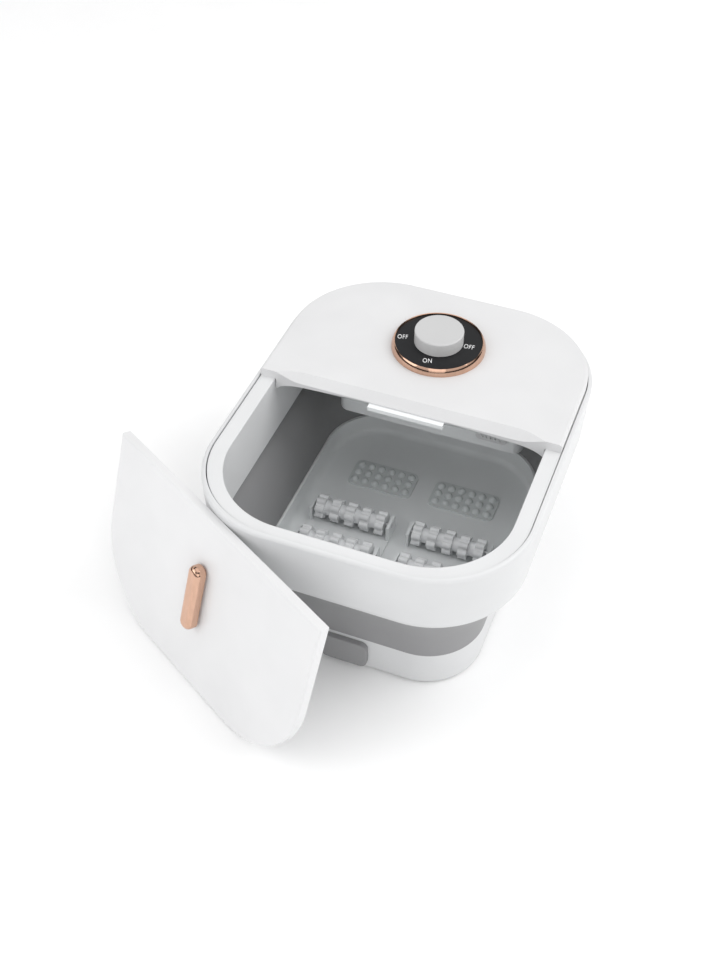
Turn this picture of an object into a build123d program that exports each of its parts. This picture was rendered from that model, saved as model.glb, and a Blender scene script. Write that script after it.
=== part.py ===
from build123d import *
from math import cos, radians, sin, sqrt, tan
import os

# Folding foot spa basin, in millimetres.
# X points to the user's right, +Y to the control deck, +Z up.
# The origin is on the floor under the middle of the basin's plan.

# ---- Plan: the parting line between the outer casing and the inner frame ----
seam_half_width = 165.0
seam_half_length = 203.0
front_corner_radius = 98.0
rear_corner_radius = 104.0

# ---- Heights ----
foot_height = 2.0
base_height = 44.0
bellows_visible_height = 83.0
casing_height = 79.0
rim_rise = 1.5
deck_rise = 10.0

# ---- Walls and clearances ----
wall = 2.5
bellows_wall = 2.2
parting_gap = 0.9
pan_clearance = 0.5
assembly_gap = 0.3
running_clearance = 0.05

# ---- Base ----
base_inset = 35.0
base_edge_radius = 2.0
pan_floor_height = 15.0
pan_floor_radius = 9.0
foot_radius = 11.0
foot_stud_radius = 3.5
foot_half_pitch_x = 80.0
foot_half_pitch_y = 112.0
base_screw_half_pitch_x = 55.0
base_screw_half_pitch_y = 78.0
base_screw_radius = 1.5
base_boss_radius = 4.5

# ---- Drain ----
drain_height = 22.5
drain_bore_radius = 7.5
spout_wall = 1.5
spout_flange_radius = 12.0
drain_nut_radius = 13.5
plug_width = 51.0
plug_height = 35.0
plug_thickness = 6.0
plug_corner_radius = 8.0
sump_half_width = 20.0
sump_length = 28.0
sump_depth = 7.5

# ---- Massage floor ----
roller_radius = 14.0
roller_length = 82.0
roller_ring_count = 5
roller_lobe_count = 7
axle_radius = 2.5
tray_width = 96.0
tray_length = 100.0
tray_centre_x = 58.0
tray_centre_y = -25.0
tray_plate = 2.5
roller_pitch = 50.0
cheek_thickness = 3.5
pad_width = 78.0
pad_length = 42.0
pad_plate = 2.0
pad_centre_x = 50.0
pad_front_y = -112.0
pad_rear_y = 82.0
nub_radius = 4.5
nub_pitch = 12.5

# ---- Casing, frame and bellows ----
rim_width = 5.0
rim_depth = 6.0
rim_edge_radius = 4.2
casing_draft = 3.0
casing_bottom_radius = 15.0
bellows_top_inset = 7.6
ledge_thickness = 2.5
opening_edge_radius = 1.2
ledge_edge_radius = 0.6
frame_skirt_depth = 12.0
frame_wall_overlap = 9.0
bellows_bead_height = 2.4
bellows_bead_width = 3.2
bellows_hidden_height = 17.0
bellows_ring_height = 3.5
opening_side_inset = 17.3
opening_end_inset = 12.6
grip_half_width = 45.0
grip_reach = 2.5
grip_depth = 14.0
grip_edge_radius = 2.2

# ---- Control deck ----
deck_front_y = 4.3
deck_edge_radius = 3.5
scoop_run = 9.0
scoop_foot = 1.5
scoop_stations = ((116.0, 1.0), (124.0, 0.93), (132.0, 0.68), (139.0, 0.35), (146.0, 0.05))
apron_drop = 13.0
lid_rest_half_width = 41.0
lid_rest_reach = 5.8
lid_rest_height = 4.6
dial_centre_y = 106.5
dial_ring_radius = 51.0
dial_ring_height = 8.8
dial_plate_radius = 47.0
dial_plate_top = 7.0
knob_radius = 26.5
knob_height = 15.5
knob_lift = 0.5
shaft_radius = 3.0
bushing_radius = 4.8
switch_size = 26.0
switch_depth = 16.0

# ---- Console pan under the deck, and what it holds ----
console_depth = 58.0
console_toe_run = 55.0
console_gap = 1.2
well_depth = 37.0
well_half_width = 108.0
well_front_y = 84.0
well_rear_y = 152.0
well_front_radius = 12.0
well_rear_radius = 30.0
pump_radius = 15.0
pump_head_radius = 17.0
pump_left_x = -100.0
pump_length = 45.0
pump_head_length = 23.0
heater_radius = 13.0
heater_length = 70.0
nipple_radius = 4.0
nipple_length = 8.0
hose_wall = 2.0
hose_bend_radius = 14.0
hose_gap = 18.0
grille_width = 36.0
grille_height = 20.0
grille_plate = 2.0
board_width = 80.0
board_depth = 28.0
board_thickness = 1.6
board_centre_x = -38.0
board_centre_y = 166.0
board_lift = 6.0
deck_boss_radius = 5.5
deck_screw_radius = 1.5
deck_boss_front_x = 118.0
deck_boss_front_y = 72.0
deck_boss_rear_x = 100.0
deck_boss_rear_y = 160.0
console_flange_thickness = 2.0
lead_radius = 1.2

# ---- Power inlet in the rear of the casing ----
inlet_centre_x = -30.0
inlet_drop = 23.0
inlet_width = 22.0
inlet_height = 13.0
inlet_flange = 2.0
inlet_pin_radius = 1.1
inlet_pin_pitch = 9.0

# ---- Lid, standing against the front left corner of the casing ----
lid_side_gap = 1.0
lid_end_gap = 0.65
lid_corner_radius = 97.0
lid_edge_radius = 2.0
lid_yaw = -29.53
lid_lean = 15.3
lid_shift = 3.6
lid_lean_gap = 0.5
handle_length = 80.0
handle_width = 18.0
handle_height = 11.0
handle_foot_height = 3.0
handle_offset_x = -3.0
handle_offset_y = -92.0

# ---- Levels that follow from the sizes above ----
base_bottom_z = foot_height
base_top_z = base_bottom_z + base_height
casing_bottom_z = base_top_z + bellows_visible_height
ledge_z = casing_bottom_z + casing_height
rim_z = ledge_z + rim_rise
deck_top_z = ledge_z + deck_rise
bellows_top_z = casing_bottom_z + bellows_hidden_height
pan_floor_z = base_bottom_z + pan_floor_height
pan_top_z = base_top_z
water_floor_z = pan_floor_z + wall
pan_inset = base_inset + wall + pan_clearance
spout_hole_radius = drain_bore_radius + spout_wall + 0.2
base_front_y = -(seam_half_length - base_inset)
drain_z = base_bottom_z + drain_height
console_floor_z = ledge_z - console_depth
well_floor_z = console_floor_z - well_depth
console_side_inset = opening_side_inset + console_gap
console_end_inset = opening_end_inset + console_gap
console_front_y = deck_front_y + wall + 1.2
flange_front_y = console_front_y + 1.8
roller_z = water_floor_z + tray_plate + roller_radius + 1.0
cut_reach = 3 * seam_half_width


def casing_inset(height):
    """Inset of the casing's outer face at a height: it drafts inwards below the rim."""
    return -rim_width + (rim_z - height) * tan(radians(casing_draft))


def casing_inner_inset(height):
    """Inset of the casing's inner face at a height, through its rounded bottom too."""
    drop = casing_bottom_z + casing_bottom_radius - height
    if drop <= 0:
        return casing_inset(height) + wall
    draft = radians(casing_draft)
    centre_inset = casing_inset(casing_bottom_z) + casing_bottom_radius * (1 - sin(draft)) / cos(draft)
    return centre_inset - sqrt((casing_bottom_radius - wall) ** 2 - drop**2)


def plan_outline(inset, end_inset=None):
    """The basin's rounded plan in the open sketch, inset from the seam at the sides and the ends."""
    ends = inset if end_inset is None else end_inset
    Rectangle(2 * (seam_half_width - inset), 2 * (seam_half_length - ends))
    smaller = min(inset, ends)
    fillet(vertices().group_by(Axis.Y)[0], front_corner_radius - smaller)
    fillet(vertices().group_by(Axis.Y)[-1], rear_corner_radius - smaller)


def plan_slab(bottom, top, inset, end_inset=None, mode=Mode.ADD):
    """A slab of the plan outline between two heights, in the open part."""
    with BuildSketch(Plane.XY.offset(bottom)) as outline:
        plan_outline(inset, end_inset)
    extrude(outline.sketch, amount=top - bottom, mode=mode)


def disc(centre, radius, bottom, top, mode=Mode.ADD):
    """An upright cylinder between two heights, in the open part."""
    with BuildSketch(Plane.XY.offset(bottom)) as outline:
        with Locations(centre):
            Circle(radius)
    extrude(outline.sketch, amount=top - bottom, mode=mode)


def rod_x(centre, radius, left, right, mode=Mode.ADD):
    """A cylinder along X about (y, z), in the open part."""
    with BuildSketch(Plane.YZ.offset(left)) as outline:
        with Locations(centre):
            Circle(radius)
    extrude(outline.sketch, amount=right - left, mode=mode)


def rod_y(centre, radius, front, rear, mode=Mode.ADD):
    """A cylinder along Y about (x, z), in the open part."""
    with BuildSketch(Plane.XZ.offset(-rear)) as outline:
        with Locations(centre):
            Circle(radius)
    extrude(outline.sketch, amount=rear - front, mode=mode)


def block(centre, size, bottom, top, corner=0.0, mode=Mode.ADD):
    """An upright block about (x, y) with rounded corners, in the open part."""
    with BuildSketch(Plane.XY.offset(bottom)) as outline:
        with Locations(centre):
            if corner:
                RectangleRounded(size[0], size[1], corner)
            else:
                Rectangle(size[0], size[1])
    extrude(outline.sketch, amount=top - bottom, mode=mode)


def cut_front(rear_y, bottom, top):
    """Cut away everything in front of a Y position between two heights, in the open part."""
    block((0, rear_y - cut_reach / 2), (cut_reach, cut_reach), bottom, top, mode=Mode.SUBTRACT)


def write(piece, label):
    """Name a finished piece and write its STEP file."""
    piece.part.label = label
    export_step(piece.part, f"parts/{label}.step")


os.makedirs("parts", exist_ok=True)
foot_places = [(sx * foot_half_pitch_x, sy * foot_half_pitch_y) for sx in (-1, 1) for sy in (-1, 1)]
foot_places.append((0.0, 0.0))
base_screw_places = [
    (x, y)
    for x in (-base_screw_half_pitch_x, base_screw_half_pitch_x)
    for y in (-base_screw_half_pitch_y, base_screw_half_pitch_y)
]
base_boss_split_z = base_bottom_z + 9.0
screw_head_height = 2.2
screw_head_radius = 3.2
screw_clearance = 0.1

# ==== Base: outer shell, five rubber feet and the screws that hold the pan ====
with BuildPart() as base_shell:
    plan_slab(base_bottom_z, base_top_z, base_inset)
    fillet(faces().sort_by(Axis.Z)[0].edges(), base_edge_radius)
    plan_slab(base_bottom_z + wall, base_top_z, base_inset + wall, mode=Mode.SUBTRACT)
    for place in base_screw_places:
        disc(place, base_boss_radius, base_bottom_z + wall, base_boss_split_z)
        disc(place, screw_head_radius + 0.4, base_bottom_z, base_bottom_z + wall + 0.5, Mode.SUBTRACT)
        disc(place, base_screw_radius + 0.3, base_bottom_z, base_boss_split_z, Mode.SUBTRACT)
    for place in foot_places:
        disc(place, foot_stud_radius + screw_clearance, base_bottom_z, base_bottom_z + wall, Mode.SUBTRACT)
    rod_y((0, drain_z), spout_hole_radius, base_front_y - 1, base_front_y + wall + 1, Mode.SUBTRACT)
write(base_shell, "base_shell")

with BuildPart() as rubber_feet:
    for place in foot_places:
        disc(place, foot_radius, 0, base_bottom_z)
        disc(place, foot_stud_radius, base_bottom_z, base_bottom_z + wall)
        disc(place, foot_stud_radius + 1.2, base_bottom_z + wall, base_bottom_z + wall + 1.5)
write(rubber_feet, "rubber_feet")

with BuildPart() as base_screws:
    for place in base_screw_places:
        head_z = base_bottom_z + wall + 0.5 - screw_head_height
        disc(place, screw_head_radius, head_z, head_z + screw_head_height)
        disc(place, base_screw_radius, head_z + screw_head_height, pan_floor_z + wall - 1.5)
        disc(place, 1.2, head_z, head_z + 1.0, Mode.SUBTRACT)
write(base_screws, "base_screws")

# ==== Tub pan: the water floor, with a drain sump at the front ====
sump_front_y = -(seam_half_length - pan_inset)
sump_centre_y = sump_front_y + sump_length / 2

with BuildPart() as pan_cavity:
    plan_slab(water_floor_z, pan_top_z, pan_inset + wall)
    fillet(faces().sort_by(Axis.Z)[0].edges(), pan_floor_radius - wall)

with BuildPart() as tub_pan:
    plan_slab(pan_floor_z, pan_top_z, pan_inset)
    fillet(faces().sort_by(Axis.Z)[0].edges(), pan_floor_radius)
    sump_size = (2 * sump_half_width, sump_length)
    block((0, sump_centre_y), sump_size, pan_floor_z - sump_depth, pan_floor_z + wall)
    add(pan_cavity.part, mode=Mode.SUBTRACT)
    block(
        (0, sump_centre_y),
        (2 * (sump_half_width - wall), sump_length - 2 * wall),
        pan_floor_z - sump_depth + wall,
        pan_top_z - 1.0,
        mode=Mode.SUBTRACT,
    )
    rod_y((0, drain_z), spout_hole_radius, sump_front_y - 1, sump_front_y + wall + 1, Mode.SUBTRACT)
    for place in base_screw_places:
        disc(place, base_boss_radius, base_boss_split_z, pan_floor_z)
        hole_top_z = pan_floor_z + wall - 1.0
        disc(place, base_screw_radius + running_clearance, base_boss_split_z, hole_top_z, Mode.SUBTRACT)
write(tub_pan, "tub_pan")

# ==== Drain: spout, gasket and nut through both walls, and the pull-out plug ====
pan_wall_y = sump_front_y + wall
gasket_thickness = 1.2
flange_thickness = 2.0
spout_radius = drain_bore_radius + spout_wall
drain_nut_thickness = 3.0
spout_end_y = base_front_y - drain_nut_thickness - 0.6
plug_back_y = base_front_y - assembly_gap
plug_front_y = plug_back_y - plug_thickness

with BuildPart() as drain_gasket:
    rod_y((0, drain_z), spout_flange_radius, pan_wall_y, pan_wall_y + gasket_thickness)
    rod_y((0, drain_z), spout_radius + 0.1, pan_wall_y - 1, pan_wall_y + gasket_thickness + 1, Mode.SUBTRACT)
write(drain_gasket, "drain_gasket")

with BuildPart() as drain_spout:
    flange_y = pan_wall_y + gasket_thickness
    rod_y((0, drain_z), spout_flange_radius, flange_y, flange_y + flange_thickness)
    rod_y((0, drain_z), spout_radius, spout_end_y, flange_y)
    rod_y((0, drain_z), drain_bore_radius, spout_end_y - 1, flange_y + flange_thickness + 1, Mode.SUBTRACT)
write(drain_spout, "drain_spout")

with BuildPart() as drain_nut:
    rod_y((0, drain_z), drain_nut_radius, base_front_y - drain_nut_thickness, base_front_y)
    nut_front_y = base_front_y - drain_nut_thickness
    rod_y((0, drain_z), spout_radius + 0.1, nut_front_y - 1, base_front_y + 1, Mode.SUBTRACT)
    with BuildSketch(Plane.XZ.offset(-base_front_y)):
        with Locations((0, drain_z)):
            with PolarLocations(drain_nut_radius + 0.6, 8):
                Circle(2.0)
    extrude(amount=drain_nut_thickness, mode=Mode.SUBTRACT)
write(drain_nut, "drain_nut")

with BuildPart() as drain_plug:
    with BuildSketch(Plane.XZ.offset(-plug_back_y)):
        with Locations((0, drain_z)):
            RectangleRounded(plug_width, plug_height, plug_corner_radius)
    extrude(amount=plug_thickness)
    fillet(faces().sort_by(Axis.Y)[0].edges(), 1.5)
    pocket_y = spout_end_y - 0.5
    rod_y((0, drain_z), drain_nut_radius + 1.0, pocket_y, plug_back_y, Mode.SUBTRACT)
    rod_y((0, drain_z), drain_bore_radius - running_clearance, pocket_y, flange_y - 1.0)
write(drain_plug, "drain_plug")


# ==== Massage floor: two lift-out roller trays and four nub pads ====
def make_roller_tray(centre_x):
    """A tray plate with a cheek at each side that carries the roller axles."""
    plate_top = water_floor_z + tray_plate
    cheek_top = roller_z + 5.0
    with BuildPart() as tray:
        block((centre_x, tray_centre_y), (tray_width, tray_length), water_floor_z, plate_top, 6.0)
        for step in (-0.5, 0.5):
            window = (centre_x, tray_centre_y + step * roller_pitch)
            block(window, (roller_length - 8, 16), water_floor_z, plate_top, 4.0, Mode.SUBTRACT)
        for side in (-1, 1):
            cheek_x = centre_x + side * (tray_width - cheek_thickness) / 2
            for step in (-0.5, 0.5):
                cheek_y = tray_centre_y + step * roller_pitch
                block((cheek_x, cheek_y), (cheek_thickness, 22), plate_top, cheek_top)
        for step in (-0.5, 0.5):
            axle_place = (tray_centre_y + step * roller_pitch, roller_z)
            rod_x(axle_place, axle_radius + running_clearance, centre_x - 60, centre_x + 60, Mode.SUBTRACT)
    return tray


def make_roller(centre_x, centre_y):
    """A massage roller: lobed rings on a tube, each ring turned half a lobe from the last."""
    left = centre_x - roller_length / 2
    lobe_radius = 3.6
    ring_width = 10.0
    pitch = (roller_length - ring_width) / (roller_ring_count - 1)
    with BuildPart() as roller:
        rod_x((centre_y, roller_z), roller_radius - 5.5, left, left + roller_length)
        for ring in range(roller_ring_count):
            with BuildSketch(Plane.YZ.offset(left + ring * pitch)):
                with Locations((centre_y, roller_z)):
                    Circle(roller_radius - 3.0)
                    turn = 180.0 / roller_lobe_count * (ring % 2)
                    with PolarLocations(roller_radius - lobe_radius, roller_lobe_count, start_angle=turn):
                        Circle(lobe_radius)
            extrude(amount=ring_width)
        bore_radius = axle_radius + 2 * running_clearance
        rod_x((centre_y, roller_z), bore_radius, left - 1, left + roller_length + 1, Mode.SUBTRACT)
    return roller


for side_name, side in (("left", -1), ("right", 1)):
    write(make_roller_tray(side * tray_centre_x), f"roller_tray_{side_name}")
    for row_name, step in (("front", -0.5), ("rear", 0.5)):
        roller_y = tray_centre_y + step * roller_pitch
        write(make_roller(side * tray_centre_x, roller_y), f"roller_{row_name}_{side_name}")

with BuildPart() as roller_axles:
    for side in (-1, 1):
        for step in (-0.5, 0.5):
            axle_left = side * tray_centre_x - tray_width / 2
            axle_place = (tray_centre_y + step * roller_pitch, roller_z)
            rod_x(axle_place, axle_radius, axle_left, axle_left + tray_width)
write(roller_axles, "roller_axles")

with BuildPart() as nub_pads:
    for pad_x in (-pad_centre_x, pad_centre_x):
        for pad_y in (pad_front_y, pad_rear_y):
            block((pad_x, pad_y), (pad_width, pad_length), water_floor_z, water_floor_z + pad_plate, 8.0)
            with Locations((pad_x, pad_y, water_floor_z + pad_plate)):
                with GridLocations(nub_pitch, nub_pitch, 6, 3):
                    Sphere(nub_radius, arc_size1=0, align=(Align.CENTER, Align.CENTER, Align.MIN))
write(nub_pads, "nub_pads")

# ==== Bellows: the folding wall between base and casing ====
bellows_profile = (
    (base_top_z, base_inset),
    (base_top_z + 0.30 * bellows_visible_height, base_inset - 2.2),
    (base_top_z + 0.55 * bellows_visible_height, base_inset - 6.5),
    (base_top_z + 0.75 * bellows_visible_height, base_inset - 12.5),
    (base_top_z + 0.90 * bellows_visible_height, bellows_top_inset + 7.0),
    (casing_bottom_z, bellows_top_inset),
    (bellows_top_z, bellows_top_inset - 0.6),
)


def bellows_body(thickness):
    """The bellows' outer shape, moved in by a thickness."""
    with BuildPart() as body:
        for height, inset in bellows_profile:
            with BuildSketch(Plane.XY.offset(height)):
                plan_outline(inset + thickness)
        loft(ruled=True)
    return body.part


bead_inset = bellows_top_inset - 0.6 - bellows_bead_width
bellows_outside = bellows_body(0)
bellows_inside = bellows_body(bellows_wall)
with BuildPart() as bellows:
    add(bellows_outside)
    plan_slab(bellows_top_z - bellows_bead_height, bellows_top_z, bead_inset)
    add(bellows_inside, mode=Mode.SUBTRACT)
write(bellows, "bellows")

with BuildPart() as bellows_ring:
    ring_top_z = bellows_top_z - bellows_bead_height
    ring_bottom_z = ring_top_z - bellows_ring_height
    plan_slab(ring_bottom_z, ring_top_z, casing_inner_inset(ring_bottom_z) + assembly_gap)
    plan_slab(ring_bottom_z, ring_top_z, bellows_top_inset - 0.3 - assembly_gap, mode=Mode.SUBTRACT)
write(bellows_ring, "bellows_ring")


# ==== Outer casing: the drafted white skirt with a thick rounded rim ====
def casing_body(thickness):
    """The casing's outer shape, moved in by a thickness, open at the rim."""
    bottom = casing_bottom_z + thickness
    with BuildPart() as body:
        for height in (bottom, rim_z):
            with BuildSketch(Plane.XY.offset(height)):
                plan_outline(casing_inset(height) + thickness)
        loft(ruled=True)
        fillet(faces().sort_by(Axis.Z)[0].edges(), casing_bottom_radius - thickness)
    return body.part


inlet_z = ledge_z - inlet_drop
casing_rear_y = seam_half_length - casing_inset(inlet_z)
casing_outside = casing_body(0)
casing_inside = casing_body(wall)
with BuildPart() as casing_cavity:
    add(casing_inside)
    plan_slab(rim_z - rim_depth, rim_z + 1, -rim_width - 10, mode=Mode.SUBTRACT)

grip_rear_y = seam_half_length + rim_width + grip_reach
with BuildPart() as lift_grip:
    grip_centre = (0, grip_rear_y - grip_depth / 2)
    block(grip_centre, (2 * grip_half_width, grip_depth), rim_z - rim_depth, rim_z, 2.0)
    fillet(faces().sort_by(Axis.Z)[-1].edges(), grip_edge_radius)

with BuildPart() as outer_casing:
    add(casing_outside)
    fillet(faces().sort_by(Axis.Z)[-1].edges(), rim_edge_radius)
    add(lift_grip.part)
    add(casing_cavity.part, mode=Mode.SUBTRACT)
    plan_slab(rim_z - rim_depth - 1, rim_z + 1, 0, mode=Mode.SUBTRACT)
    mouth_inset = bellows_top_inset - 2 * assembly_gap
    plan_slab(casing_bottom_z - 1, casing_bottom_z + casing_bottom_radius, mouth_inset, mode=Mode.SUBTRACT)
    with BuildSketch(Plane.XZ.offset(-casing_rear_y - 5)):
        with Locations((inlet_centre_x, inlet_z)):
            RectangleRounded(inlet_width + 0.6, inlet_height + 0.6, 3.0)
    extrude(amount=15, mode=Mode.SUBTRACT)
write(outer_casing, "outer_casing")

# ==== Inner frame: lid ledge, opening wall and the flange over the bellows ====
frame_bottom_z = bellows_top_z - frame_wall_overlap
notch_size = (12.0, 6.0)
notch_centre = (inlet_centre_x, seam_half_length - opening_end_inset + wall + 3.6)
with BuildPart() as inner_frame:
    plan_slab(ledge_z - frame_skirt_depth, ledge_z, parting_gap)
    plan_slab(ledge_z - frame_skirt_depth, ledge_z - ledge_thickness, parting_gap + wall, mode=Mode.SUBTRACT)
    plan_slab(frame_bottom_z, ledge_z, opening_side_inset - wall, opening_end_inset - wall)
    plan_slab(bellows_top_z, bellows_top_z + wall, casing_inset(bellows_top_z) + wall + assembly_gap)
    plan_slab(frame_bottom_z - 1, ledge_z + 1, opening_side_inset, opening_end_inset, Mode.SUBTRACT)
    fillet(faces().sort_by(Axis.Z)[-1].inner_wires()[0].edges(), opening_edge_radius)
    fillet(faces().sort_by(Axis.Z)[-1].outer_wire().edges(), ledge_edge_radius)
    block(notch_centre, notch_size, ledge_z - ledge_thickness - 1, ledge_z + 1, mode=Mode.SUBTRACT)
write(inner_frame, "inner_frame")


# ==== Console pan: the sealed tray under the deck, cut back for the user's toes ====
def console_body(thickness):
    """The console's outer shape, moved in by a thickness: a toe slope in front and a well below."""
    slope = thickness * 1.4142
    low = console_floor_z + thickness
    with BuildPart() as body:
        plan_slab(low, ledge_z, console_side_inset + thickness, console_end_inset + thickness)
        with BuildSketch(Plane.YZ):
            with BuildLine():
                Polyline(
                    (console_front_y + thickness, ledge_z),
                    (console_front_y + thickness, ledge_z - 3 + slope / 2),
                    (console_front_y + console_toe_run + slope - thickness, low),
                    (seam_half_length, low),
                    (seam_half_length, ledge_z),
                    close=True,
                )
            make_face()
        extrude(amount=seam_half_width, both=True, mode=Mode.INTERSECT)
        well_low = well_floor_z + thickness
        with BuildSketch(Plane.XY.offset(well_low)) as well_outline:
            with Locations((0, (well_rear_y + well_front_y) / 2)):
                Rectangle(2 * (well_half_width - thickness), well_rear_y - well_front_y - 2 * thickness)
            fillet(vertices().group_by(Axis.Y)[0], well_front_radius - thickness)
            fillet(vertices().group_by(Axis.Y)[-1], well_rear_radius - thickness)
        extrude(well_outline.sketch, amount=low + 1 - well_low)
    return body.part


flow_y = (well_front_y + well_rear_y) / 2
flow_z = well_floor_z + wall + pump_head_radius + 1.5
head_left_x = pump_left_x + pump_length
head_right_x = head_left_x + pump_head_length
heater_left_x = head_right_x + nipple_length + hose_gap - nipple_length
heater_right_x = heater_left_x + heater_length
outlet_x = heater_right_x + nipple_length + hose_bend_radius
intake_x = (head_left_x + head_right_x) / 2
port_radius = nipple_radius + hose_wall
post_top_z = deck_top_z - wall - 19.0
deck_boss_places = [(side * deck_boss_front_x, deck_boss_front_y) for side in (-1, 1)]
deck_boss_places += [(side * deck_boss_rear_x, deck_boss_rear_y) for side in (-1, 1)]
board_bottom_z = console_floor_z + wall + board_lift
board_post_places = [
    (board_centre_x + sx * (board_width / 2 - 5), board_centre_y + sy * (board_depth / 2 - 5))
    for sx in (-1, 1)
    for sy in (-1, 1)
]
flange_inset = parting_gap + wall + 1.0
deck_wall_rear_y = deck_front_y + wall

console_outside = console_body(0)
console_inside = console_body(wall)
with BuildPart() as console_flange:
    plan_slab(ledge_z, ledge_z + console_flange_thickness, flange_inset)
    cut_front(flange_front_y, ledge_z - 1, ledge_z + 3)

with BuildPart() as console_cavity:
    add(console_inside)
    plan_slab(ledge_z, ledge_z + 3, console_side_inset + wall, console_end_inset + wall)
    cut_front(console_front_y, ledge_z, ledge_z + 4)

with BuildPart() as console_pan:
    add(console_outside)
    add(console_flange.part)
    rest_centre_y = deck_front_y - lid_rest_reach / 2 + 4.0
    rest_size = (2 * lid_rest_half_width, lid_rest_reach + 8.0)
    block((0, rest_centre_y), rest_size, ledge_z - 0.4 - lid_rest_height, ledge_z - 0.4)
    add(console_cavity.part, mode=Mode.SUBTRACT)
    for place in deck_boss_places:
        disc(place, deck_boss_radius, console_floor_z, post_top_z)
        disc(place, deck_boss_radius - 1.8, console_floor_z - 1, post_top_z - 3, Mode.SUBTRACT)
        disc(place, deck_screw_radius + 0.3, post_top_z - 4, post_top_z, Mode.SUBTRACT)
    for place in board_post_places:
        disc(place, 3.0, console_floor_z + wall / 2, board_bottom_z)
    for port_x in (intake_x, outlet_x):
        rod_y((port_x, flow_z), port_radius + 0.1, well_front_y - 1, well_front_y + wall + 1, Mode.SUBTRACT)
    flange_notch_centre = (notch_centre[0], notch_centre[1] - 1.5)
    flange_notch_size = (notch_size[0], notch_size[1] + 3.0)
    block(flange_notch_centre, flange_notch_size, ledge_z - 1, ledge_z + 3, mode=Mode.SUBTRACT)
write(console_pan, "console_pan")

# ==== Water circuit in the console: pump, heater and hoses ====
with BuildPart() as pump_motor:
    rod_x((flow_y, flow_z), pump_radius, pump_left_x, head_left_x)
    rod_x((flow_y, flow_z), 4.0, pump_left_x - 3, pump_left_x)
write(pump_motor, "pump_motor")

with BuildPart() as pump_head:
    rod_x((flow_y, flow_z), pump_head_radius, head_left_x, head_right_x)
    rod_x((flow_y, flow_z), nipple_radius, head_right_x, head_right_x + nipple_length)
    rod_y((intake_x, flow_z), nipple_radius, flow_y - pump_head_radius - 5, flow_y)
    nipple_end_x = head_right_x + nipple_length
    rod_x((flow_y, flow_z), nipple_radius - 1.2, head_left_x + 3, nipple_end_x + 1, Mode.SUBTRACT)
    rod_y((intake_x, flow_z), nipple_radius - 1.2, flow_y - pump_head_radius - 6, flow_y, Mode.SUBTRACT)
write(pump_head, "pump_head")

with BuildPart() as pump_cradle:
    cradle_bottom = well_floor_z + wall
    for cradle_x in (pump_left_x + 10, pump_left_x + 32):
        block((cradle_x, flow_y), (6, 34), cradle_bottom, flow_z)
    rod_x((flow_y, flow_z), pump_radius + 0.05, pump_left_x, head_left_x, Mode.SUBTRACT)
write(pump_cradle, "pump_cradle")

with BuildPart() as heater_tube:
    rod_x((flow_y, flow_z), heater_radius, heater_left_x, heater_right_x)
    rod_x((flow_y, flow_z), nipple_radius, heater_left_x - nipple_length, heater_left_x)
    rod_x((flow_y, flow_z), nipple_radius, heater_right_x, heater_right_x + nipple_length)
    tube_left = heater_left_x - nipple_length - 1
    tube_right = heater_right_x + nipple_length + 1
    rod_x((flow_y, flow_z), nipple_radius - 1.2, tube_left, tube_right, Mode.SUBTRACT)
    block(((heater_left_x + heater_right_x) / 2, flow_y), (22, 14), flow_z, flow_z + heater_radius + 1.0)
    rod_x((flow_y, flow_z), nipple_radius - 1.2, tube_left, tube_right, Mode.SUBTRACT)
write(heater_tube, "heater_tube")

with BuildPart() as heater_clips:
    for clip_x in (heater_left_x + 12, heater_right_x - 12):
        block((clip_x, flow_y), (8, 30), well_floor_z + wall, flow_z)
    rod_x((flow_y, flow_z), heater_radius + 0.05, heater_left_x, heater_right_x, Mode.SUBTRACT)
write(heater_clips, "heater_clips")

with BuildPart() as thermostat:
    thermostat_z = flow_z + heater_radius + 1.0
    thermostat_centre = ((heater_left_x + heater_right_x) / 2, flow_y)
    disc(thermostat_centre, 8.0, thermostat_z, thermostat_z + 5)
    block(thermostat_centre, (18, 4), thermostat_z + 5, thermostat_z + 6.2)
write(thermostat, "thermostat")

with BuildPart() as intake_hose:
    hose_end_y = flow_y - pump_head_radius - 0.2
    rod_y((intake_x, flow_z), port_radius, well_front_y, hose_end_y)
    hose_bore_radius = nipple_radius + running_clearance
    rod_y((intake_x, flow_z), hose_bore_radius, well_front_y - 1, hose_end_y + 1, Mode.SUBTRACT)
    rod_x((flow_y, flow_z), pump_head_radius + 0.05, head_left_x - 5, head_right_x + 5, Mode.SUBTRACT)
write(intake_hose, "intake_hose")

with BuildPart() as transfer_hose:
    rod_x((flow_y, flow_z), port_radius, head_right_x + 0.5, heater_left_x - 0.5)
    rod_x((flow_y, flow_z), nipple_radius + running_clearance, head_right_x, heater_left_x, Mode.SUBTRACT)
write(transfer_hose, "transfer_hose")

with BuildPart() as outlet_hose:
    bend_start_x = heater_right_x + nipple_length
    with BuildLine() as outlet_route:
        first = Line((heater_right_x + 0.5, flow_y, flow_z), (bend_start_x, flow_y, flow_z))
        bend_centre = (bend_start_x, flow_y - hose_bend_radius, flow_z)
        bend_middle = (
            bend_start_x + hose_bend_radius * sin(radians(45)),
            flow_y - hose_bend_radius * (1 - cos(radians(45))),
            flow_z,
        )
        bend = ThreePointArc(first @ 1, bend_middle, (outlet_x, flow_y - hose_bend_radius, flow_z))
        Line(bend @ 1, (outlet_x, well_front_y, flow_z))
    with BuildSketch(Plane.YZ.offset(heater_right_x + 0.5)):
        with Locations((flow_y, flow_z)):
            Circle(port_radius)
            Circle(nipple_radius + running_clearance, mode=Mode.SUBTRACT)
    sweep(path=outlet_route.line)
write(outlet_hose, "outlet_hose")


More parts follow.
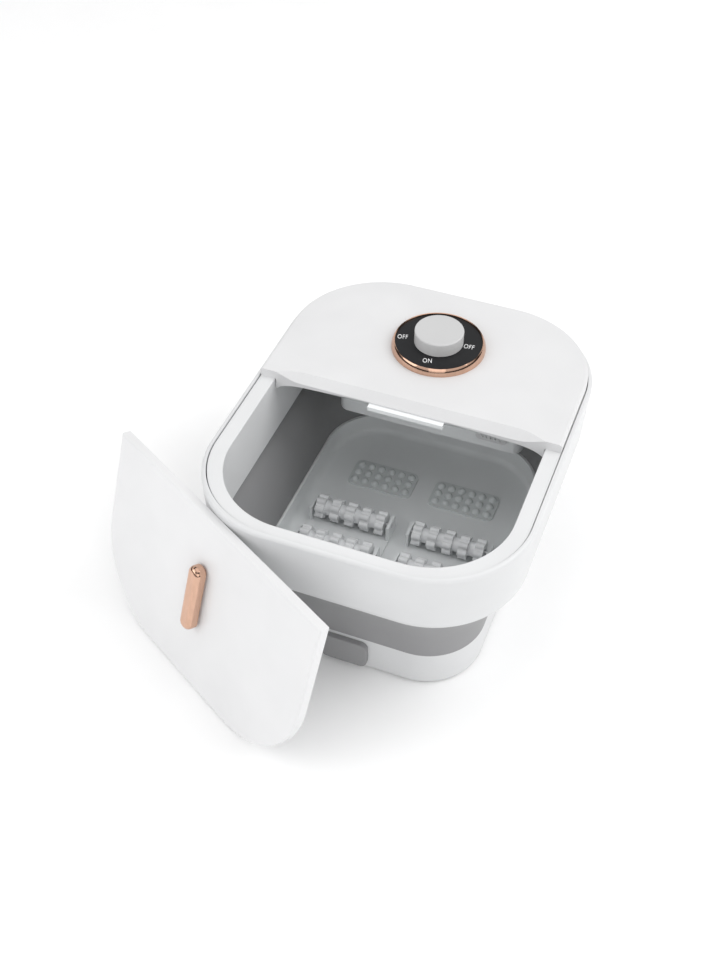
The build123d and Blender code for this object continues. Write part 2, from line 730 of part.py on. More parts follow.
def make_grille(centre_x):
    """A slotted plate over a port in the well's front wall."""
    with BuildPart() as grille:
        with BuildSketch(Plane.XZ.offset(-well_front_y)):
            with Locations((centre_x, flow_z)):
                RectangleRounded(grille_width, grille_height, 5.0)
                with GridLocations(5.0, 0, 5, 1):
                    SlotOverall(grille_height - 7, 2.4, rotation=90, mode=Mode.SUBTRACT)
        extrude(amount=grille_plate)
    return grille


write(make_grille(intake_x), "intake_grille")
write(make_grille(outlet_x - 4), "outlet_grille")

# ==== Control board with its parts ====
board_top_z = board_bottom_z + board_thickness
with BuildPart() as control_board:
    block((board_centre_x, board_centre_y), (board_width, board_depth), board_bottom_z, board_top_z, 2.0)
write(control_board, "control_board")

terminal_centre = (inlet_centre_x, board_centre_y + 8)
with BuildPart() as board_parts:
    block((board_centre_x - 26, board_centre_y), (19, 15), board_top_z, board_top_z + 15)
    disc((board_centre_x - 6, board_centre_y - 6), 5.0, board_top_z, board_top_z + 13)
    disc((board_centre_x + 8, board_centre_y - 6), 4.0, board_top_z, board_top_z + 11)
    block(terminal_centre, (20, 8), board_top_z, board_top_z + 10)
    block((board_centre_x + 27, board_centre_y), (14, 18), board_top_z, board_top_z + 8)
write(board_parts, "board_parts")

# ==== Power inlet in the rear wall, and its leads to the board ====
inlet_back_y = seam_half_length - opening_end_inset + wall + 2.2
inlet_face_y = casing_rear_y + 0.6
with BuildPart() as power_inlet:
    with BuildSketch(Plane.XZ.offset(-inlet_back_y)):
        with Locations((inlet_centre_x, inlet_z)):
            RectangleRounded(inlet_width, inlet_height, 2.7)
    extrude(amount=-(inlet_face_y - inlet_back_y))
    with BuildSketch(Plane.XZ.offset(-inlet_face_y)):
        with Locations((inlet_centre_x, inlet_z)):
            RectangleRounded(inlet_width + 6, inlet_height + 6, 4.0)
    extrude(amount=-inlet_flange)
    with BuildSketch(Plane.XZ.offset(-(inlet_face_y + inlet_flange))):
        with Locations((inlet_centre_x, inlet_z)):
            RectangleRounded(inlet_width - 4, inlet_height - 4, 2.0)
    extrude(amount=9.0, mode=Mode.SUBTRACT)
    for step in (-0.5, 0.5):
        pin_place = (inlet_centre_x + step * inlet_pin_pitch, inlet_z)
        rod_y(pin_place, inlet_pin_radius, inlet_back_y + 1, inlet_face_y, Mode.SUBTRACT)
write(power_inlet, "power_inlet")

with BuildPart() as inlet_pins:
    for step in (-0.5, 0.5):
        pin_place = (inlet_centre_x + step * inlet_pin_pitch, inlet_z)
        rod_y(pin_place, inlet_pin_radius, inlet_back_y + 1, inlet_face_y)
write(inlet_pins, "inlet_pins")


def sweep_lead(points, radii):
    """A round lead along straight runs joined by tangent arcs, in the open part."""
    with BuildLine() as route:
        FilletPolyline(*points, radius=radii)
    with BuildSketch(Plane(origin=points[0], z_dir=Vector(*points[1]) - Vector(*points[0]))) as section:
        Circle(lead_radius)
    sweep(section.sketch, path=route.line)


over_wall_z = ledge_z + (deck_rise - wall + console_flange_thickness) / 2
lead_rise_y = notch_centre[1]
with BuildPart() as power_leads:
    for step in (-0.5, 0.5):
        lead_x = inlet_centre_x + step * 5.0
        sweep_lead(
            (
                (lead_x, lead_rise_y, inlet_z + inlet_height / 2),
                (lead_x, lead_rise_y, over_wall_z),
                (lead_x, terminal_centre[1], over_wall_z),
                (lead_x, terminal_centre[1], board_top_z + 10),
            ),
            (6.0, 9.0),
        )
write(power_leads, "power_leads")

# ==== Rotary switch under the deck ====
switch_top_z = deck_top_z - wall
switch_bottom_z = switch_top_z - switch_depth
bushing_top_z = deck_top_z + 4.0
dial_centre = (0, dial_centre_y)
with BuildPart() as rotary_switch:
    block(dial_centre, (switch_size, switch_size), switch_bottom_z, switch_top_z, 2.0)
    disc(dial_centre, bushing_radius, switch_top_z, bushing_top_z)
    disc(dial_centre, shaft_radius + running_clearance, switch_bottom_z + 4, bushing_top_z + 1, Mode.SUBTRACT)
    for step in (-1, 0, 1):
        block((step * 8.0, dial_centre_y), (4, 1), switch_bottom_z - 6, switch_bottom_z)
write(rotary_switch, "rotary_switch")

with BuildPart() as switch_shaft:
    shaft_top_z = deck_top_z + dial_plate_top + knob_lift + knob_height - 4
    disc(dial_centre, shaft_radius, switch_bottom_z + 4.5, shaft_top_z)
write(switch_shaft, "switch_shaft")

with BuildPart() as switch_nut:
    with BuildSketch(Plane.XY.offset(deck_top_z)):
        with Locations(dial_centre):
            RegularPolygon(8.0, 6)
            Circle(bushing_radius + running_clearance, mode=Mode.SUBTRACT)
    extrude(amount=2.4)
write(switch_nut, "switch_nut")

with BuildPart() as switch_leads:
    for terminal_x, landing_x in ((-8.0, board_centre_x + 16), (8.0, board_centre_x + 37)):
        sweep_lead(
            (
                (terminal_x, dial_centre_y, switch_bottom_z - 6),
                (terminal_x, dial_centre_y, switch_bottom_z - 18),
                (landing_x, board_centre_y - 8, switch_bottom_z - 18),
                (landing_x, board_centre_y - 8, board_top_z),
            ),
            (6.0, 6.0),
        )
write(switch_leads, "switch_leads")

# ==== Deck cover: the white control deck, with a scooped front lip and an arched apron ====
opening_half_width = seam_half_width - opening_side_inset
with BuildPart() as deck_cavity:
    plan_slab(ledge_z, deck_top_z - wall, parting_gap + wall)
    cut_front(deck_wall_rear_y, ledge_z - 1, deck_top_z + 1)
    with BuildSketch(Plane.YZ):
        with BuildLine():
            Polyline(
                (deck_wall_rear_y, ledge_z + scoop_foot),
                (deck_wall_rear_y + 2, ledge_z + scoop_foot),
                (deck_wall_rear_y + scoop_run + 2, deck_top_z),
                (deck_wall_rear_y, deck_top_z),
                close=True,
            )
        make_face()
    extrude(amount=seam_half_width, both=True, mode=Mode.SUBTRACT)

with BuildPart() as deck_scoop:
    for station_x, share in [(-x, share) for x, share in reversed(scoop_stations)] + list(scoop_stations):
        with BuildSketch(Plane.YZ.offset(station_x)):
            scoop_low_z = deck_top_z - share * (deck_rise - scoop_foot)
            scoop_rear_y = deck_front_y + share * scoop_run
            with BuildLine():
                Polyline(
                    (deck_front_y - 1, scoop_low_z),
                    (deck_front_y, scoop_low_z),
                    (scoop_rear_y, deck_top_z),
                    (scoop_rear_y, deck_top_z + 1),
                    (deck_front_y - 1, deck_top_z + 1),
                    close=True,
                )
            make_face()
    loft(ruled=True)

with BuildPart() as deck_cover:
    plan_slab(ledge_z, deck_top_z, parting_gap)
    cut_front(deck_front_y, ledge_z - 1, deck_top_z + 1)
    top_edges = faces().sort_by(Axis.Z)[-1].edges()
    fillet(top_edges.filter_by(lambda edge: edge.center().Y > deck_front_y + 1), deck_edge_radius)
    add(deck_scoop.part, mode=Mode.SUBTRACT)
    add(deck_cavity.part, mode=Mode.SUBTRACT)
    with BuildSketch(Plane.XZ.offset(-deck_front_y)):
        apron_half = opening_half_width - parting_gap
        level_half = lid_rest_half_width + 4.0
        shoulder_x = (apron_half + level_half) / 2 + 8
        shoulder_z = ledge_z - 0.2 * apron_drop
        apron_top_z = ledge_z + scoop_foot
        right_foot = (apron_half, ledge_z - apron_drop)
        left_foot = (-apron_half, ledge_z - apron_drop)
        with BuildLine():
            level = Line((-level_half, ledge_z), (level_half, ledge_z))
            Spline(level @ 1, (shoulder_x, shoulder_z), right_foot, tangents=((1, 0), (1, -1)))
            Spline(level @ 0, (-shoulder_x, shoulder_z), left_foot, tangents=((-1, 0), (-1, -1)))
            Polyline(right_foot, (apron_half, apron_top_z), (-apron_half, apron_top_z), left_foot)
        make_face()
    extrude(amount=-wall)
    disc(dial_centre, bushing_radius + 0.3, deck_top_z - wall - 1, deck_top_z + 1, Mode.SUBTRACT)
    for place in deck_boss_places:
        disc(place, deck_boss_radius - 1.0, post_top_z, deck_top_z - wall)
        disc(place, deck_screw_radius + running_clearance, post_top_z, post_top_z + 12, Mode.SUBTRACT)
write(deck_cover, "deck_cover")

with BuildPart() as deck_screws:
    for place in deck_boss_places:
        disc(place, screw_head_radius, post_top_z - 3 - screw_head_height, post_top_z - 3)
        disc(place, deck_screw_radius, post_top_z - 3, post_top_z + 10)
write(deck_screws, "deck_screws")

# ==== Dial: metal ring, black plate and the knob ====
with BuildPart() as dial_ring:
    with BuildSketch(Plane.YZ):
        with BuildLine():
            inner = dial_centre_y + dial_plate_radius + assembly_gap
            outer = dial_centre_y + dial_ring_radius
            lip_z = deck_top_z + dial_ring_height
            foot_z = deck_top_z + 1.5
            Polyline((inner, lip_z - 0.4), (inner, deck_top_z), (outer, deck_top_z), (outer, foot_z))
            flank = ThreePointArc((outer, foot_z), (outer - 0.9, foot_z + 4.1), (inner + 0.9, lip_z))
            Line(flank @ 1, (inner, lip_z - 0.4))
        make_face()
    revolve(axis=Axis((0, dial_centre_y, 0), (0, 0, 1)))
write(dial_ring, "dial_ring")

plate_z = deck_top_z + dial_plate_top
with BuildPart() as dial_plate:
    disc(dial_centre, dial_plate_radius, deck_top_z, plate_z)
    disc(dial_centre, dial_plate_radius - 2, deck_top_z, plate_z - 2, Mode.SUBTRACT)
    disc(dial_centre, shaft_radius + 1.0, plate_z - 3, plate_z + 1, Mode.SUBTRACT)
write(dial_plate, "dial_plate")

knob_bottom_z = plate_z + knob_lift
knob_top_z = knob_bottom_z + knob_height
with BuildPart() as knob:
    disc(dial_centre, knob_radius, knob_bottom_z, knob_top_z)
    fillet(faces().sort_by(Axis.Z)[-1].edges(), 1.6)
    disc(dial_centre, knob_radius - wall, knob_bottom_z, knob_top_z - wall, Mode.SUBTRACT)
    disc(dial_centre, shaft_radius + 3, knob_bottom_z + 1, knob_top_z - wall)
    disc(dial_centre, shaft_radius + running_clearance, knob_bottom_z + 1, knob_top_z - 3.8, Mode.SUBTRACT)
write(knob, "knob")

# ==== Lid, leaning with its straight edge up ====
lid_half_width = seam_half_width - lid_side_gap
lid_length = deck_front_y + seam_half_length - 2 * lid_end_gap
lid_thickness = deck_rise
yaw = radians(lid_yaw)
lean = radians(lid_lean)
lid_outward = Vector(sin(yaw) * cos(lean), -cos(yaw) * cos(lean), sin(lean))
lid_along = Vector(cos(yaw), sin(yaw), 0)
level_outward = Vector(sin(yaw), -cos(yaw), 0)
back_edge_z = lid_length * cos(lean)
contact_z = min(back_edge_z, rim_z)
corner_centre = Vector(front_corner_radius - seam_half_width, front_corner_radius - seam_half_length, 0)
corner_reach = front_corner_radius - casing_inset(contact_z) + lid_lean_gap
back_edge_reach = corner_reach - (back_edge_z - contact_z) * tan(lean)
back_edge = corner_centre + level_outward * back_edge_reach + Vector(0, 0, back_edge_z)
lid_plane = Plane(
    origin=back_edge + lid_outward * lid_thickness + lid_along * lid_shift,
    x_dir=lid_along,
    z_dir=lid_outward,
)


def lid_outline(inset):
    """The lid's plan in the open sketch: a straight edge at y = 0 and two large corners."""
    with Locations((0, -lid_length / 2)):
        Rectangle(2 * (lid_half_width - inset), lid_length - 2 * inset)
    fillet(vertices().group_by(Axis.Y)[0], lid_corner_radius - inset)


def lid_slab(bottom, top, inset, mode=Mode.ADD):
    """A slab of the lid's plan between two heights over its outer face."""
    with BuildSketch(lid_plane.offset(bottom)) as outline:
        lid_outline(inset)
    extrude(outline.sketch, amount=top - bottom, mode=mode)


handle_post_half_pitch = handle_length / 2 - 16
with BuildPart() as lid_shell:
    lid_slab(-lid_thickness, 0, 0)
    fillet(faces().sort_by(Axis(lid_plane.origin, lid_plane.z_dir))[-1].edges(), lid_edge_radius)
    lid_slab(-lid_thickness, -wall, wall, Mode.SUBTRACT)
    with BuildSketch(lid_plane.offset(1)):
        with Locations((handle_offset_x, handle_offset_y)):
            with GridLocations(0, 2 * handle_post_half_pitch, 1, 2):
                Circle(base_screw_radius + 0.3)
    extrude(amount=-6, mode=Mode.SUBTRACT)
write(lid_shell, "lid_shell")

liner_top = -lid_thickness + 2.0
with BuildPart() as lid_liner:
    lid_slab(-lid_thickness, liner_top, wall + assembly_gap)
    with BuildSketch(lid_plane.offset(liner_top)):
        with Locations((0, -lid_length / 2)):
            with GridLocations(75, 0, 4, 1):
                Rectangle(2, lid_length - 60)
    extrude(amount=-wall - liner_top)
write(lid_liner, "lid_liner")

with BuildPart() as lid_handle:
    with BuildSketch(lid_plane):
        with Locations((handle_offset_x, handle_offset_y)):
            SlotOverall(handle_length - 8, handle_width - 7, rotation=90)
    extrude(amount=handle_foot_height)
    with BuildSketch(lid_plane.offset(handle_foot_height)):
        with Locations((handle_offset_x, handle_offset_y)):
            SlotOverall(handle_length, handle_width, rotation=90)
    extrude(amount=handle_height)
    fillet(faces().sort_by(Axis(lid_plane.origin, lid_plane.z_dir))[-1].edges(), 6.0)
    with BuildSketch(lid_plane):
        with Locations((handle_offset_x, handle_offset_y)):
            with GridLocations(0, 2 * handle_post_half_pitch, 1, 2):
                Circle(base_screw_radius + running_clearance)
    extrude(amount=9, mode=Mode.SUBTRACT)
write(lid_handle, "lid_handle")

with BuildPart() as handle_screws:
    for length, radius in ((-2.0, screw_head_radius), (wall + 8.0, base_screw_radius)):
        with BuildSketch(lid_plane.offset(-wall)):
            with Locations((handle_offset_x, handle_offset_y)):
                with GridLocations(0, 2 * handle_post_half_pitch, 1, 2):
                    Circle(radius)
        extrude(amount=length)
write(handle_screws, "handle_screws")
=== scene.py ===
import math

import bmesh
import bpy
from mathutils import Matrix, Vector


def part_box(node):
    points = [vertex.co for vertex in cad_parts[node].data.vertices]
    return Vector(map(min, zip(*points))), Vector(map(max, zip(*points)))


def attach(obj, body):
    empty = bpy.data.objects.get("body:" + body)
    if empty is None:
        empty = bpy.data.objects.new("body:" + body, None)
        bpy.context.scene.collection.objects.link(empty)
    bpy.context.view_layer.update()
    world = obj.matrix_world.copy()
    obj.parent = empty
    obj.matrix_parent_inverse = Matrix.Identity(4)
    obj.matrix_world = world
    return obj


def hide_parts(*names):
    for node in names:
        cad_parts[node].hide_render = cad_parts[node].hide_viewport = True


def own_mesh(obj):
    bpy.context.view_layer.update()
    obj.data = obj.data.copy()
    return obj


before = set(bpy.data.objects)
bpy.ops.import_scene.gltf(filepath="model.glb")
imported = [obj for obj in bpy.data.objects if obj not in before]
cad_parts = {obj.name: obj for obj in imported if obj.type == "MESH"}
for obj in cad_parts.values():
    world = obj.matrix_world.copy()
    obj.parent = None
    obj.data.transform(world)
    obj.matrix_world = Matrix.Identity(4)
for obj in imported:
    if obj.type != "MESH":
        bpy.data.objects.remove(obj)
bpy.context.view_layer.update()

# ---- Camera: the photograph's viewing angle, in the row frame ----
AZIMUTH = math.radians(21.135)
ELEVATION = math.radians(45.19)
ROLL = math.radians(0.22)
TARGET = Vector((-0.0457, -0.0307, 0.125))
DISTANCE = 1.3549
LENS_MM = 47.53
SENSOR_MM = 36.0
level_reach = math.cos(ELEVATION)
back = Vector((math.sin(AZIMUTH) * level_reach, -math.cos(AZIMUTH) * level_reach, math.sin(ELEVATION)))
level_x = Vector((0, 0, 1)).cross(back).normalized()
level_y = back.cross(level_x)
cam_x = math.cos(ROLL) * level_x + math.sin(ROLL) * level_y
cam_y = -math.sin(ROLL) * level_x + math.cos(ROLL) * level_y
cam_data = bpy.data.cameras.new("camera")
cam_data.lens = LENS_MM
cam_data.sensor_width = SENSOR_MM
camera = bpy.data.objects.new("camera", cam_data)
bpy.context.scene.collection.objects.link(camera)
turned = Matrix((cam_x, cam_y, back)).transposed().to_4x4()
camera.matrix_world = Matrix.Translation(TARGET + back * DISTANCE) @ turned
bpy.context.scene.camera = camera


# ---- Materials ----
def new_material(name):
    """A node material with an empty Principled shader, and its tree."""
    mat = bpy.data.materials.new(name)
    mat.use_nodes = True
    tree = mat.node_tree
    shader = tree.nodes["Principled BSDF"]
    return mat, tree, shader


def add_node(tree, kind, **inputs):
    """A node in the tree with its inputs set by name."""
    node = tree.nodes.new(kind)
    for key, value in inputs.items():
        node.inputs[key.replace("_", " ")].default_value = value
    return node


def noise(tree, scale, detail=4.0, roughness=0.55):
    """3-D noise over the piece's own coordinates."""
    where = tree.nodes.new("ShaderNodeTexCoord")
    tex = add_node(tree, "ShaderNodeTexNoise", Scale=scale, Detail=detail, Roughness=roughness)
    tree.links.new(where.outputs["Object"], tex.inputs["Vector"])
    return tex


def ramp(tree, source, low, high, start=0.3, end=0.7):
    """Maps a value to a colour between two ends, and gives the ramp's node."""
    node = tree.nodes.new("ShaderNodeValToRGB")
    node.color_ramp.elements[0].position = start
    node.color_ramp.elements[0].color = (*low, 1)
    node.color_ramp.elements[1].position = end
    node.color_ramp.elements[1].color = (*high, 1)
    tree.links.new(source, node.inputs["Fac"])
    return node


def span(tree, source, low, high):
    """Maps 0..1 to a range."""
    node = add_node(tree, "ShaderNodeMapRange")
    node.inputs["To Min"].default_value = low
    node.inputs["To Max"].default_value = high
    tree.links.new(source, node.inputs["Value"])
    return node


def moulded(name, colour, rough=0.35, vary=0.03, grain=900.0, grain_depth=0.00004, coat=0.0, sheen=0.0):
    """Moulded plastic: faint tone drift, uneven gloss and a fine surface texture."""
    mat, tree, shader = new_material(name)
    broad = noise(tree, 9.0, 3.0)
    low = tuple(max(0.0, c * (1 - vary)) for c in colour)
    high = tuple(min(1.0, c * (1 + vary)) for c in colour)
    tone = ramp(tree, broad.outputs["Fac"], low, high)
    tree.links.new(tone.outputs["Color"], shader.inputs["Base Color"])
    smudge = noise(tree, 38.0, 5.0)
    gloss = span(tree, smudge.outputs["Fac"], rough * 0.85, min(1.0, rough * 1.18))
    tree.links.new(gloss.outputs["Result"], shader.inputs["Roughness"])
    fine = noise(tree, grain, 2.0)
    bump = add_node(tree, "ShaderNodeBump", Strength=0.35, Distance=grain_depth)
    tree.links.new(fine.outputs["Fac"], bump.inputs["Height"])
    tree.links.new(bump.outputs["Normal"], shader.inputs["Normal"])
    shader.inputs["Coat Weight"].default_value = coat
    shader.inputs["Coat Roughness"].default_value = 0.12
    shader.inputs["Sheen Weight"].default_value = sheen
    return mat


def metal(name, colour, rough=0.22, streak=240.0, axis=2):
    """Brushed or polished metal: fine streaks along one axis that change gloss and tone a little."""
    mat, tree, shader = new_material(name)
    where = tree.nodes.new("ShaderNodeTexCoord")
    stretch = tree.nodes.new("ShaderNodeMapping")
    scale = [streak, streak, streak]
    scale[axis] = streak * 0.06
    stretch.inputs["Scale"].default_value = scale
    tree.links.new(where.outputs["Object"], stretch.inputs["Vector"])
    tex = add_node(tree, "ShaderNodeTexNoise", Scale=1.0, Detail=3.0)
    tree.links.new(stretch.outputs["Vector"], tex.inputs["Vector"])
    low = tuple(c * 0.94 for c in colour)
    high = tuple(min(1.0, c * 1.05) for c in colour)
    tone = ramp(tree, tex.outputs["Fac"], low, high)
    tree.links.new(tone.outputs["Color"], shader.inputs["Base Color"])
    gloss = span(tree, tex.outputs["Fac"], rough * 0.8, rough * 1.25)
    tree.links.new(gloss.outputs["Result"], shader.inputs["Roughness"])
    shader.inputs["Metallic"].default_value = 1.0
    return mat


casing_white = moulded("casing_white", (0.685, 0.69, 0.695), rough=0.34, coat=0.12)
# The lid's white is a lighter copy of the casing white: its extra lightness is painted light, standing in
# for the light the lid faces.
lid_white_painted_light = moulded("lid_white_painted_light", (0.74, 0.74, 0.745), rough=0.36, coat=0.12)
deck_white = moulded("deck_white", (0.70, 0.70, 0.705), rough=0.42)
frame_grey = moulded("frame_grey", (0.71, 0.715, 0.72), rough=0.38)
# The white inside the tub is partly the pan's own brighter white and partly painted light that lifts the
# shade inside the tub and console.
pan_white = moulded("pan_white", (0.88, 0.90, 0.905), rough=0.30, coat=0.2)
bellows_grey = moulded(
    "bellows_grey", (0.27, 0.27, 0.275), rough=0.62, sheen=0.12, grain=500.0, grain_depth=0.00008
)
base_white = moulded("base_white", (0.66, 0.665, 0.67), rough=0.36)
roller_white = moulded("roller_white", (0.88, 0.89, 0.90), rough=0.30, coat=0.2)
plug_grey = moulded("plug_grey", (0.27, 0.27, 0.275), rough=0.5)
seal_rubber = moulded("seal_rubber", (0.03, 0.03, 0.032), rough=0.7, grain=1500.0)
silicone = moulded("silicone", (0.74, 0.77, 0.77), rough=0.5, grain=1200.0)
dial_black = moulded("dial_black", (0.006, 0.0065, 0.008), rough=0.5, vary=0.2)
knob_grey = moulded("knob_grey", (0.55, 0.55, 0.55), rough=0.4)
black_plastic = moulded("black_plastic", (0.025, 0.025, 0.028), rough=0.5)
board_green = moulded("board_green", (0.02, 0.13, 0.05), rough=0.35, vary=0.25, grain=2500.0)
lead_rubber = moulded("lead_rubber", (0.05, 0.05, 0.055), rough=0.55)
label_white = moulded("label_white", (0.85, 0.85, 0.85), rough=0.6)
rose_gold = metal("rose_gold", (0.66, 0.42, 0.31), rough=0.10, streak=420.0)
screw_steel = metal("screw_steel", (0.60, 0.60, 0.61), rough=0.3)
motor_steel = metal("motor_steel", (0.52, 0.52, 0.54), rough=0.34, axis=0)
pin_brass = metal("pin_brass", (0.78, 0.60, 0.30), rough=0.25, axis=1)

NODE_MATERIALS = {
    casing_white: ["outer_casing"],
    lid_white_painted_light: ["lid_shell"],
    deck_white: ["deck_cover"],
    base_white: ["base_shell"],
    frame_grey: ["inner_frame", "intake_grille", "outlet_grille", "lid_liner"],
    pan_white: ["tub_pan", "roller_tray_left", "roller_tray_right", "console_pan"],
    roller_white: ["roller_front_left", "roller_front_right", "roller_rear_left", "roller_rear_right"],
    bellows_grey: ["bellows"],
    plug_grey: ["drain_plug"],
    seal_rubber: ["rubber_feet", "drain_gasket"],
    silicone: ["nub_pads", "intake_hose", "transfer_hose", "outlet_hose"],
    dial_black: ["dial_plate"],
    knob_grey: ["knob"],
    black_plastic: [
        "drain_spout", "drain_nut", "bellows_ring", "pump_head", "pump_cradle", "heater_clips",
        "thermostat", "board_parts", "power_inlet", "rotary_switch",
    ],
    board_green: ["control_board"],
    lead_rubber: ["power_leads", "switch_leads"],
    rose_gold: ["dial_ring", "lid_handle"],
    screw_steel: [
        "base_screws", "roller_axles", "switch_shaft", "switch_nut", "deck_screws", "handle_screws",
    ],
    motor_steel: ["pump_motor", "heater_tube"],
    pin_brass: ["inlet_pins"],
}
for material, nodes in NODE_MATERIALS.items():
    for node in nodes:
        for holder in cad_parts[node].material_slots:
            holder.material = material
        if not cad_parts[node].material_slots:
            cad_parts[node].data.materials.append(material)


# ---- Mesh helpers ----
def link_mesh(name, mesh, material, smooth_angle=None):
    """An object in the scene from a mesh and a material, smooth up to an angle in degrees."""
    obj = bpy.data.objects.new(name, mesh)
    bpy.context.scene.collection.objects.link(obj)
    mesh.materials.append(material)
    if smooth_angle is not None:
        mesh.shade_smooth()
        mesh.set_sharp_from_angle(angle=math.radians(smooth_angle))
    return obj


def plan_loop(half_width, half_length, front_radius, rear_radius, steps, straight):
    """Points round the basin's rounded plan, anticlockwise, from the rear end of the right side."""
    corners = (
        (half_width - rear_radius, half_length - rear_radius, rear_radius, 0),
        (-half_width + rear_radius, half_length - rear_radius, rear_radius, 90),
        (-half_width + front_radius, -half_length + front_radius, front_radius, 180),
        (half_width - front_radius, -half_length + front_radius, front_radius, 270),
    )
    arcs = []
    for x, y, radius, start in corners:
        angles = [math.radians(start + 90 * i / steps) for i in range(steps + 1)]
        arcs.append([(x + radius * math.cos(angle), y + radius * math.sin(angle)) for angle in angles])
    points = []
    for index, arc in enumerate(arcs):
        points.extend(arc)
        a, b = arc[-1], arcs[(index + 1) % 4][0]
        for i in range(1, straight):
            points.append((a[0] + (b[0] - a[0]) * i / straight, a[1] + (b[1] - a[1]) * i / straight))
    return points


def lofted(name, rings, material, smooth_angle):
    """A closed skin over rings of equal length, the last of which joins the first."""
    bm = bmesh.new()
    rows = [[bm.verts.new(p) for p in ring] for ring in rings]
    for low, high in zip(rows, rows[1:] + rows[:1]):
        count = len(low)
        for i in range(count):
            bm.faces.new((low[i], low[(i + 1) % count], high[(i + 1) % count], high[i]))
    bmesh.ops.recalc_face_normals(bm, faces=bm.faces)
    mesh = bpy.data.meshes.new(name)
    bm.to_mesh(mesh)
    bm.free()
    return link_mesh(name, mesh, material, smooth_angle)


# ---- Bellows: the soft folding wall ----
bellows_low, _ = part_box("bellows")
casing_low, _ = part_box("outer_casing")
SEAM_HALF_WIDTH = 0.165
SEAM_HALF_LENGTH = 0.203
FRONT_RADIUS = 0.098
REAR_RADIUS = 0.104
base_top = bellows_low.z
visible_height = casing_low.z - base_top
SKIN_THICKNESS = 0.0022
# Share of the height that shows under the casing, and inset from the seam.
BELLOWS_PROFILE = (
    (0.000, 0.0350), (0.050, 0.0349), (0.120, 0.0345), (0.200, 0.0339), (0.270, 0.0331), (0.330, 0.0323),
    (0.390, 0.0314), (0.440, 0.0305), (0.520, 0.0288), (0.590, 0.0270), (0.660, 0.0249), (0.720, 0.0228),
    (0.780, 0.0204), (0.830, 0.0181), (0.880, 0.0154), (0.920, 0.0129), (0.955, 0.0104), (0.985, 0.0082),
    (1.010, 0.0076), (1.080, 0.0073), (1.170, 0.0071),
)


def bellows_ring_at(share, inset):
    """One ring of the bellows' wall, at a share of the height that shows."""
    z = base_top + share * visible_height
    sizes = (SEAM_HALF_WIDTH, SEAM_HALF_LENGTH, FRONT_RADIUS, REAR_RADIUS)
    loop = plan_loop(*(size - inset for size in sizes), steps=24, straight=8)
    return [(x, y, z) for x, y in loop]


outer_rings = [bellows_ring_at(share, inset) for share, inset in BELLOWS_PROFILE]
inner_rings = [bellows_ring_at(share, inset + SKIN_THICKNESS) for share, inset in reversed(BELLOWS_PROFILE)]
bellows = lofted("bellows_skin", outer_rings + inner_rings, bellows_grey, smooth_angle=35)
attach(bellows, "base")
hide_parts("bellows")
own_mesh(bellows)

# ---- Dial lettering ----
plate_low, plate_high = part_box("dial_plate")
dial_centre = (plate_low + plate_high) / 2
LETTER_DEPTH = 0.00008
LETTER_LIFT = 0.00002
LETTER_SPACING = 1.08


def label(name, text, offset_x, offset_y, turn, size=0.0063, stretch=1.6):
    """Raised lettering on the dial plate, offset from its middle and turned by an angle in degrees."""
    curve = bpy.data.curves.new(name, "FONT")
    curve.body = text
    curve.size = size
    curve.align_x = "CENTER"
    curve.align_y = "CENTER"
    curve.extrude = LETTER_DEPTH
    curve.space_character = LETTER_SPACING
    mesh_source = bpy.data.objects.new(name + "_text", curve)
    bpy.context.scene.collection.objects.link(mesh_source)
    bpy.context.view_layer.update()
    evaluated = mesh_source.evaluated_get(bpy.context.evaluated_depsgraph_get())
    mesh = bpy.data.meshes.new_from_object(evaluated)
    stretched = Matrix.Diagonal((1.0, stretch, 1.0, 1.0))
    mesh.transform(Matrix.Rotation(math.radians(turn), 4, "Z") @ stretched)
    place = (dial_centre.x + offset_x, dial_centre.y + offset_y, plate_high.z + LETTER_LIFT)
    mesh.transform(Matrix.Translation(place))
    bpy.data.objects.remove(mesh_source)
    mesh.materials.clear()
    piece = link_mesh(name, mesh, label_white)
    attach(piece, "upper")


label("label_off_left", "OFF", -0.0388, -0.0066, 16)
label("label_on", "ON", -0.0010, -0.0350, 16)
label("label_off_right", "OFF", 0.0330, 0.0030, 6)

# ---- Stage: pale floor and soft studio light ----
bm = bmesh.new()
bmesh.ops.create_grid(bm, x_segments=8, y_segments=8, size=6.0)
floor_mesh = bpy.data.meshes.new("floor")
bm.to_mesh(floor_mesh)
bm.free()
floor_material = moulded("floor_paper", (0.97, 0.97, 0.97), rough=0.9, vary=0.01, grain=60.0)
floor = link_mesh("floor", floor_mesh, floor_material)

world = bpy.data.worlds.new("studio")
bpy.context.scene.world = world
world.use_nodes = True
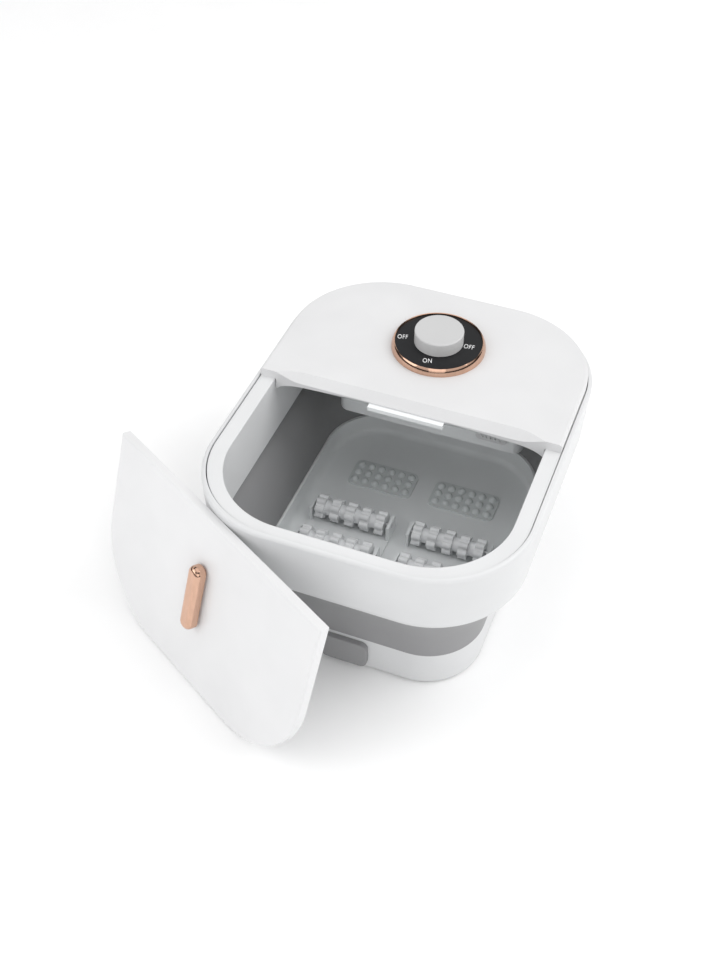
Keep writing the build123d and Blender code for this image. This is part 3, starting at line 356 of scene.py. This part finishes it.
# The dome lights the scene evenly; glossy rays see bright and dark cards by height.
sky = world.node_tree
height = sky.nodes.new("ShaderNodeSeparateXYZ")
direction = sky.nodes.new("ShaderNodeTexCoord")
sky.links.new(direction.outputs["Generated"], height.inputs["Vector"])
dome = ramp(sky, height.outputs["Z"], (0.90, 0.91, 0.93), (1.0, 1.0, 1.0), 0.0, 0.5)
cards = ramp(sky, height.outputs["Z"], (0.06, 0.06, 0.06), (0.95, 0.95, 0.95), 0.0, 1.0)
CARDS = ((0.16, 0.05), (0.24, 0.75), (0.44, 1.0), (0.56, 0.9), (0.64, 0.12), (0.78, 0.10), (0.86, 0.95))
for place, tone in CARDS:
    stop = cards.color_ramp.elements.new(place)
    stop.color = (tone, tone, tone, 1)
rays = sky.nodes.new("ShaderNodeLightPath")
choice = sky.nodes.new("ShaderNodeMix")
choice.data_type = "RGBA"
sky.links.new(rays.outputs["Is Glossy Ray"], choice.inputs["Factor"])
sky.links.new(dome.outputs["Color"], choice.inputs[6])
sky.links.new(cards.outputs["Color"], choice.inputs[7])
sky.links.new(choice.outputs[2], sky.nodes["Background"].inputs["Color"])
sky.nodes["Background"].inputs["Strength"].default_value = 0.86


def area_light(name, place, aim, size, power):
    """A rectangular softbox that faces a point."""
    data = bpy.data.lights.new(name, "AREA")
    data.shape = "RECTANGLE"
    data.size = size[0]
    data.size_y = size[1]
    data.energy = power
    lamp = bpy.data.objects.new(name, data)
    bpy.context.scene.collection.objects.link(lamp)
    lamp.location = place
    lamp.rotation_mode = "QUATERNION"
    lamp.rotation_quaternion = (Vector(aim) - Vector(place)).to_track_quat("-Z", "Y")


area_light("key_softbox", (1.5, 0.5, 1.6), (0, 0, 0.1), (1.6, 1.6), 17)
area_light("fill_softbox", (-1.5, -1.1, 1.3), (0, 0, 0.1), (1.4, 1.4), 8)
area_light("front_softbox", (0.5, -1.6, 0.8), (0, 0, 0.12), (1.2, 1.2), 3)
area_light("top_softbox", (0.0, 0.0, 2.3), (0, 0, 0.1), (2.0, 2.0), 4)
bpy.context.scene.view_settings.view_transform = "Standard"
